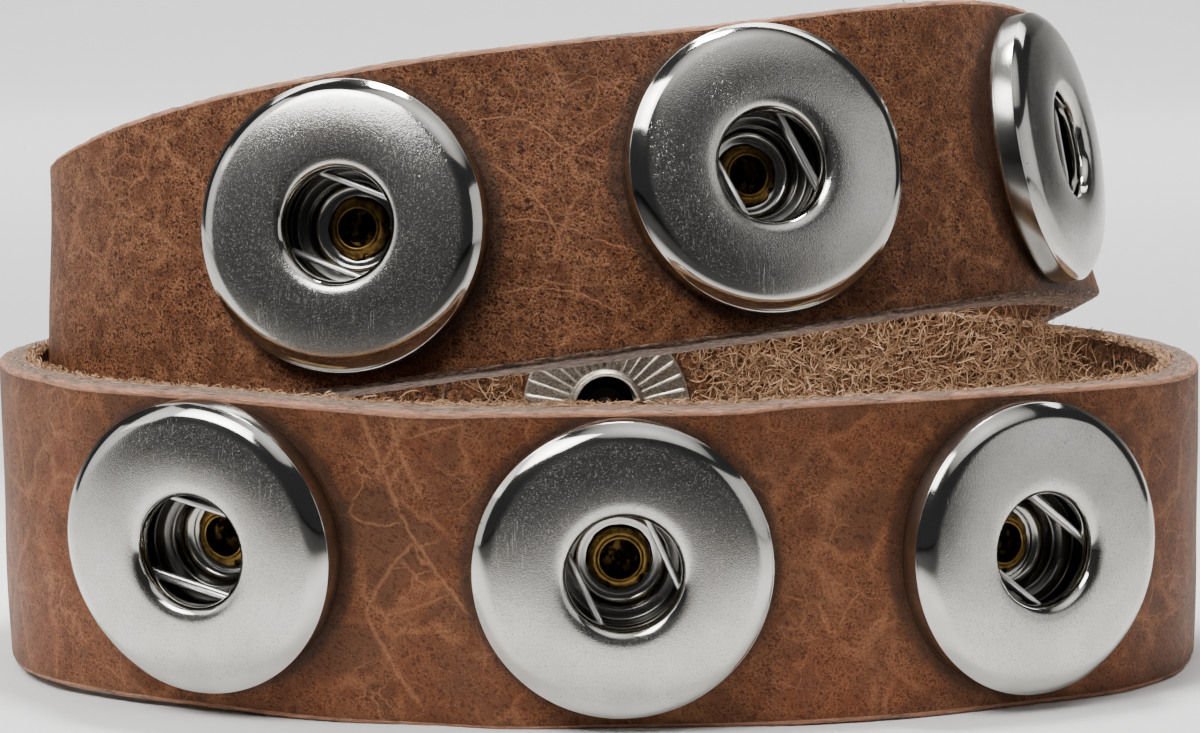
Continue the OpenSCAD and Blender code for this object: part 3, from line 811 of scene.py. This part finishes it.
def springPiece(name, turn, rise, chords, size):
    s = SimpleNamespace(**size)
    c = s.chords / 2
    a = s.length / 2 - s.wire / 2 - c
    v = np.linspace(0, np.pi, s.bend)
    right = np.stack([a + c * np.sin(v), c * np.cos(v), 0 * v + s.low], -1)
    left = np.stack([-a - c * np.sin(v), -c * np.cos(v), s.low + s.pitch * (1 - np.cos(v)) / 2], -1)
    first, last = [[-a, c, s.low]], [[-a, -c, s.low + s.pitch]]
    line = np.concatenate([first, right, left, right + (0, 0, s.pitch), last])
    ahead = unit(np.gradient(line, axis=0))
    aside = unit(np.cross(ahead, [0, 0, 1.0]))
    top = np.cross(aside, ahead)
    j = anglesRound(s.sides)[:, None]
    ring = line[:, None] + s.wire / 2 * (aside[:, None] * np.cos(j) + top[:, None] * np.sin(j))
    flat, quads, fans = poled(ring, line[[0, -1]])
    placed = carried(flat, turn, rise, chords)
    piece = meshFrom(name, [wireMat], placed, quads[:, ::-1], fans[:, ::-1], {"shadeAndTarnish": 0 * flat[:, 0]})
    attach(piece, "root")
    return piece


# Rivet: a closed head on the flesh side, a tube with a small bright lip, and a flange rolled outward
# whose edge is wavy and split in two places, where it dips over a narrow angle
rivetSize = {"bore": 1.23, "lip": 0.2, "tube": 1.65, "rim": 1.98, "rimLow": -0.85, "rimHigh": 0.4,
             "flange": 4.5, "top": -1.5, "dish": 0.15, "thick": 0.45, "around": 120,
             "splits": (27, -53), "splitHalf": 7}


def rivetPiece(name, turn, rise, chords, size):
    s = SimpleNamespace(**size)
    low, high, bottom = s.top - s.dish, s.rimLow + s.rimHigh, s.top - s.thick
    a = np.linspace(0, np.pi, 9)
    lip = np.stack([s.bore + s.lip * (1 - np.cos(a)) / 2, high - 0.08 + 0.1 * np.sin(a)], -1)
    u = np.linspace(0, 1, 8)[1:]
    lipEnd = s.bore + s.lip
    rollHeight = high - 0.09 + 0.04 * np.sin(np.pi * u) - 0.26 * u ** 2.5
    roll = np.stack([lipEnd + (s.rim - lipEnd) * u, rollHeight], -1)
    bore = [(0.3, s.top), (s.bore - 0.15, s.top), (s.bore, s.top + 0.15)]
    outside = [(s.rim - 0.02, s.rimLow + 0.03), (s.rim - 0.1, s.rimLow), (s.tube, s.rimLow), (s.tube, s.top),
               (s.flange - 0.15, low), (s.flange, low - 0.12), (s.flange, low - s.thick + 0.15),
               (s.flange - 0.12, low - s.thick + 0.02), (s.flange - 0.3, low - s.thick), (0.3, bottom)]
    profile = np.concatenate([bore, lip, roll, outside])
    points, angle = turned(profile, s.around), anglesRound(s.around)
    r, z = profile.T
    onRoll = (z > s.rimLow + 0.02) * (r < 2.1) * np.clip((r - 1.6) / 0.25, 0, 1)
    near = np.min([np.abs((np.degrees(angle) - split + 180) % 360 - 180) for split in s.splits], axis=0)
    dip = onRoll[:, None] * np.clip(1 - near / s.splitHalf, 0, 1)[None] ** 0.6
    ripple = (0.02 * np.sin(5 * angle + chords) + 0.012 * np.sin(13 * angle))[None]
    points[..., :2] *= (1 + onRoll[:, None] * ripple - 0.09 * dip)[..., None]
    points[..., 2] -= 0.12 * dip
    # painted shade: dark inside the bore, in the groove round the lip and in the splits; the rolled flange is
    # darker brass
    inside = (r < s.bore + 0.01) & (z < high - 0.05)
    groove = np.exp(-((r - lipEnd - 0.03) / 0.05) ** 2) * (z > s.rimLow)
    shadeAndTarnish = np.where(inside, 1.0, 0)[:, None] + 0.7 * groove[:, None] + 0.5 * onRoll[:, None] + dip
    flat, quads, fans = poled(points, [(0, 0, s.top), (0, 0, bottom)])
    values = {"shadeAndTarnish": np.append(np.clip(shadeAndTarnish, 0, 1).ravel(), (1.0, 0.3))}
    placed = carried(flat, turn, rise, chords)
    piece = meshFrom(name, [brassMat], placed, quads, fans[:, ::-1], values)
    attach(piece, "root")
    return piece


for place, (turn, rise, chords) in sockets.items():
    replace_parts(socketPiece("socketShell_" + place, turn, rise, chords, socketSize), "socket_" + place)
    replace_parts(springPiece("springWire_" + place, turn, rise, chords, springSize), "spring_" + place)
    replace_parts(rivetPiece("rivetTube_" + place, turn, rise, chords, rivetSize), "rivet_" + place)
print("sockets, springs and rivets")


# Eyelet: a rounded ring about the hole, then a cone with bright narrow ribs between wide dull valleys.
# A rib is a narrow peak of the angle that widens outwards; ribs differ in height and width
eyeletSize = {"hole": 2.2, "ring": 2.65, "ringHigh": 0.35, "rim": 6.1, "top": -2.85, "thick": 0.7,
              "fall": 0.35, "ribs": 34, "ribHigh": 0.12, "ribWide": (0.03, 0.065), "crimp": 0.03,
              "around": 1020}


def eyeletPiece(size):
    s = SimpleNamespace(**size)
    low = s.top - s.thick
    foot = low + s.fall
    v = np.linspace(0, np.pi, 17)
    tube = [(s.hole, 0.0), (s.hole, low + 0.1)]
    bead = np.stack([s.hole + (s.ring - s.hole) * (1 - np.cos(v)) / 2, low - s.ringHigh * np.sin(v)], -1)
    cone = np.stack([np.linspace(s.ring + 0.05, s.rim - 0.2, 20), np.linspace(low + 0.06, foot, 20)], -1)
    back = [(s.rim - 0.06, foot + 0.03), (s.rim, foot + 0.1), (s.rim, s.top - 0.05), (s.rim - 0.05, s.top),
            (s.hole + 0.25, s.top), (s.hole + 0.25, 0.0)]
    profile = np.concatenate([tube, bead, cone, back])
    section = np.repeat([0, 1, 2, 3], [len(tube), len(bead), len(cone), len(back)])
    onBead, onCone = (section == 1)[:, None], (section == 2)[:, None]
    points, angle = turned(profile, s.around), anglesRound(s.around)
    r = profile[:, 0]
    out = np.clip((r - s.ring) / (s.rim - s.ring), 0, 1)[:, None]
    fadeIn = np.clip((r - s.ring - 0.1) / 0.5, 0, 1) * np.clip((s.rim - 0.12 - r) / 0.2, 0, 1)
    place = angle * s.ribs / (2 * np.pi)
    number = np.round(place).astype(int) % s.ribs
    # offset from the rib's middle in millimetres
    off = np.abs(place - np.round(place))[None] * (r * 2 * np.pi / s.ribs)[:, None]
    strong = rng.uniform(0.65, 1.0, s.ribs)[number] * (1 - 0.65 * np.exp(-((angle - np.pi / 2) / 0.4) ** 2))
    wide = rng.uniform(0.75, 1.5, s.ribs)[number][None]
    half = s.ribWide[0] + (s.ribWide[1] - s.ribWide[0]) * out * wide
    rib = np.exp(-(off / half) ** 2) * strong[None] * onCone * fadeIn[:, None]
    points[..., 2] -= s.ribHigh * rib
    # small dents at the ring's foot, one either side of each rib
    crimp = np.exp(-((r - s.ring - 0.45) / 0.22) ** 2)[:, None] * np.exp(-((off - 0.25) / 0.05) ** 2) * onCone
    points[..., 2] += s.crimp * crimp
    # the valleys, the ring and the small dents are dark antique nickel, a little darker towards the ring;
    # painted shade makes the inside of the tube dark
    shadeAndTarnish = 0.3 * onBead + 0.42 * onCone * (1 - 1.1 * rib) + 0.4 * crimp + 0.1 * onCone * (1 - out)
    inTube = (r < s.hole + 0.08) | (np.arange(len(profile)) == len(profile) - 1)
    shadeAndTarnish = np.where(inTube[:, None], 1.0, np.clip(shadeAndTarnish, 0, 1))
    quads = gridQuads(len(profile), s.around, closedRows=True, closedCols=True)
    flat = carried(points.reshape(-1, 3), closureTurn, 0.0)
    piece = meshFrom("closureEyelet", [oldNickelMat], flat, quads, values={"shadeAndTarnish": shadeAndTarnish.ravel()})
    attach(piece, "root")
    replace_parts(piece, "closure_eyelet")


eyeletPiece(eyeletSize)

# Closure cap outside: a plain low dome with its post, turned round
capSize = {"cap": 6.0, "low": 2.75, "high": 1.0, "edge": 0.35, "post": 1.5, "collar": 2.12, "foot": -2.55,
           "around": 128}


def capPiece(size):
    s = SimpleNamespace(**size)
    a = np.linspace(0, np.pi / 2, 22)[:-1]
    dome = np.stack([s.cap * np.cos(a), s.low + s.edge + (s.high - s.edge) * np.sin(a)], -1)
    post = [(s.post - 0.1, s.foot), (s.post, s.foot + 0.1), (s.post, -0.4), (s.collar, -0.38),
            (s.collar, -0.2), (s.post, -0.18), (s.post, s.low), (s.cap - 0.1, s.low), (s.cap, s.low + 0.1)]
    points = turned(np.concatenate([post, dome]), s.around)
    flat, quads, fans = poled(points, [(0, 0, s.foot), (0, 0, s.low + s.high)])
    # painted shade: the post and collar, below the strap's face, are dark
    values = {"polish": np.full(len(flat), 0.6), "shadeAndTarnish": (flat[:, 2] < 0).astype(float)}
    placed = carried(flat, closureTurn, 0.0)
    piece = meshFrom("closureCap", [nickelMat], placed, quads[:, ::-1], fans, values)
    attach(piece, "root")
    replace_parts(piece, "closure_snap")


capPiece(capSize)
print("closure")


# Floor and backdrop: one pale sheet that curves up behind, in metres
def floorSheet():
    front, curveStart, curveSize, wide, high = -1.2, 0.9, 0.5, 1.6, 1.6
    bend = np.linspace(0, np.pi / 2, 14)[1:]
    wall = np.linspace(curveSize + 0.1, high, 6)
    y = np.concatenate([np.linspace(front, curveStart, 30), curveStart + curveSize * np.sin(bend),
                        np.full(len(wall), curveStart + curveSize)])
    z = np.concatenate([np.zeros(30), curveSize * (1 - np.cos(bend)), wall])
    x = np.linspace(-wide, wide, 20)
    points = np.stack(np.broadcast_arrays(x[None], y[:, None], z[:, None]), -1)
    m = Recipe("matt white paper")
    paper = m.mix(m.noise(0.006, 2.0), "#f1f0ee", "#f6f5f4")
    # painted shade: the paper is coloured dark in front of the bracelet, later on the right than on the left
    right, ahead, above = m.node("SeparateXYZ", {0: m.place}).node.outputs
    ahead = m.plus(ahead, m.times(m.most(m.minus(right, 45.0), 0.0), 0.65))
    paper = m.mix(m.spread(ahead, -46.0, -80.0), paper, "#343435")
    points = points.reshape(-1, 3) / mm
    sheet = meshFrom("paperFloor", [m.finish(paper, 0.85)], points, gridQuads(len(y), len(x)))


floorSheet()


# rectangular light: place, what it aims at, width and height in metres, radiance, spread in degrees
def softbox(name, place, aim, size, radiance, spread):
    light = bpy.data.lights.new(name, "AREA")
    light.shape, light.size, light.size_y = "RECTANGLE", size[0], size[1]
    light.energy = radiance * np.pi * size[0] * size[1]
    light.spread = np.radians(spread)
    lamp = bpy.data.objects.new(name, light)
    lamp.location = place
    lamp.rotation_euler = (Vector(aim) - Vector(place)).to_track_quat("-Z", "Y").to_euler()
    bpy.context.scene.collection.objects.link(lamp)


# a pool of light on the paper round the bracelet, dark in front of it, where the paper also carries painted
# shade, so that the sockets' faces mirror bright paper low down and a dark room at eye level
centre = (0, 0, 0.02)
softbox("pool light", (0.0, 0.02, 0.25), (0, 0.02, 0), (0.06, 0.06), 8.0, 38)
softbox("key softbox", (-0.205, -0.228, 0.35), centre, (0.32, 0.2), 1.8, 60)
softbox("right panel", (0.47, -0.15, 0.13), centre, (0.5, 0.26), 0.33, 120)
softbox("left panel", (-0.5, 0.02, 0.13), centre, (0.34, 0.26), 0.4, 120)
softbox("upper left panel", (-0.38, -0.06, 0.3), centre, (0.2, 0.26), 0.4, 90)
softbox("top softbox", (0.14, -0.2, 0.5), centre, (0.6, 0.5), 0.2, 70)
softbox("backdrop light", (0.0, 0.55, 0.8), (0, 0.7, 0.0), (1.4, 0.5), 5.2, 120)

world = bpy.data.worlds.new("studio")
world.use_nodes = True
world.node_tree.nodes["Background"].inputs[0].default_value = tone("#363638")
bpy.context.scene.world = world

# Camera: the photograph's distance, angle and lens, found from the strap's edges and the sockets
cameraDistance, cameraTilt = 0.264, np.radians(6.26)
cameraData = bpy.data.cameras.new("camera")
cameraData.sensor_width, cameraData.lens = 36.0, 117.45
cameraData.clip_start, cameraData.clip_end = 0.01, 10.0
camera = bpy.data.objects.new("camera", cameraData)
target = Vector((0.000024, -0.00543, 0.01946))
back = Vector((0, -float(np.cos(cameraTilt)), float(np.sin(cameraTilt))))
camera.location = target + back * cameraDistance
camera.rotation_mode = "QUATERNION"
camera.rotation_quaternion = (-back).to_track_quat("-Z", "Y")
bpy.context.scene.collection.objects.link(camera)
bpy.context.scene.camera = camera
print("lights and camera")
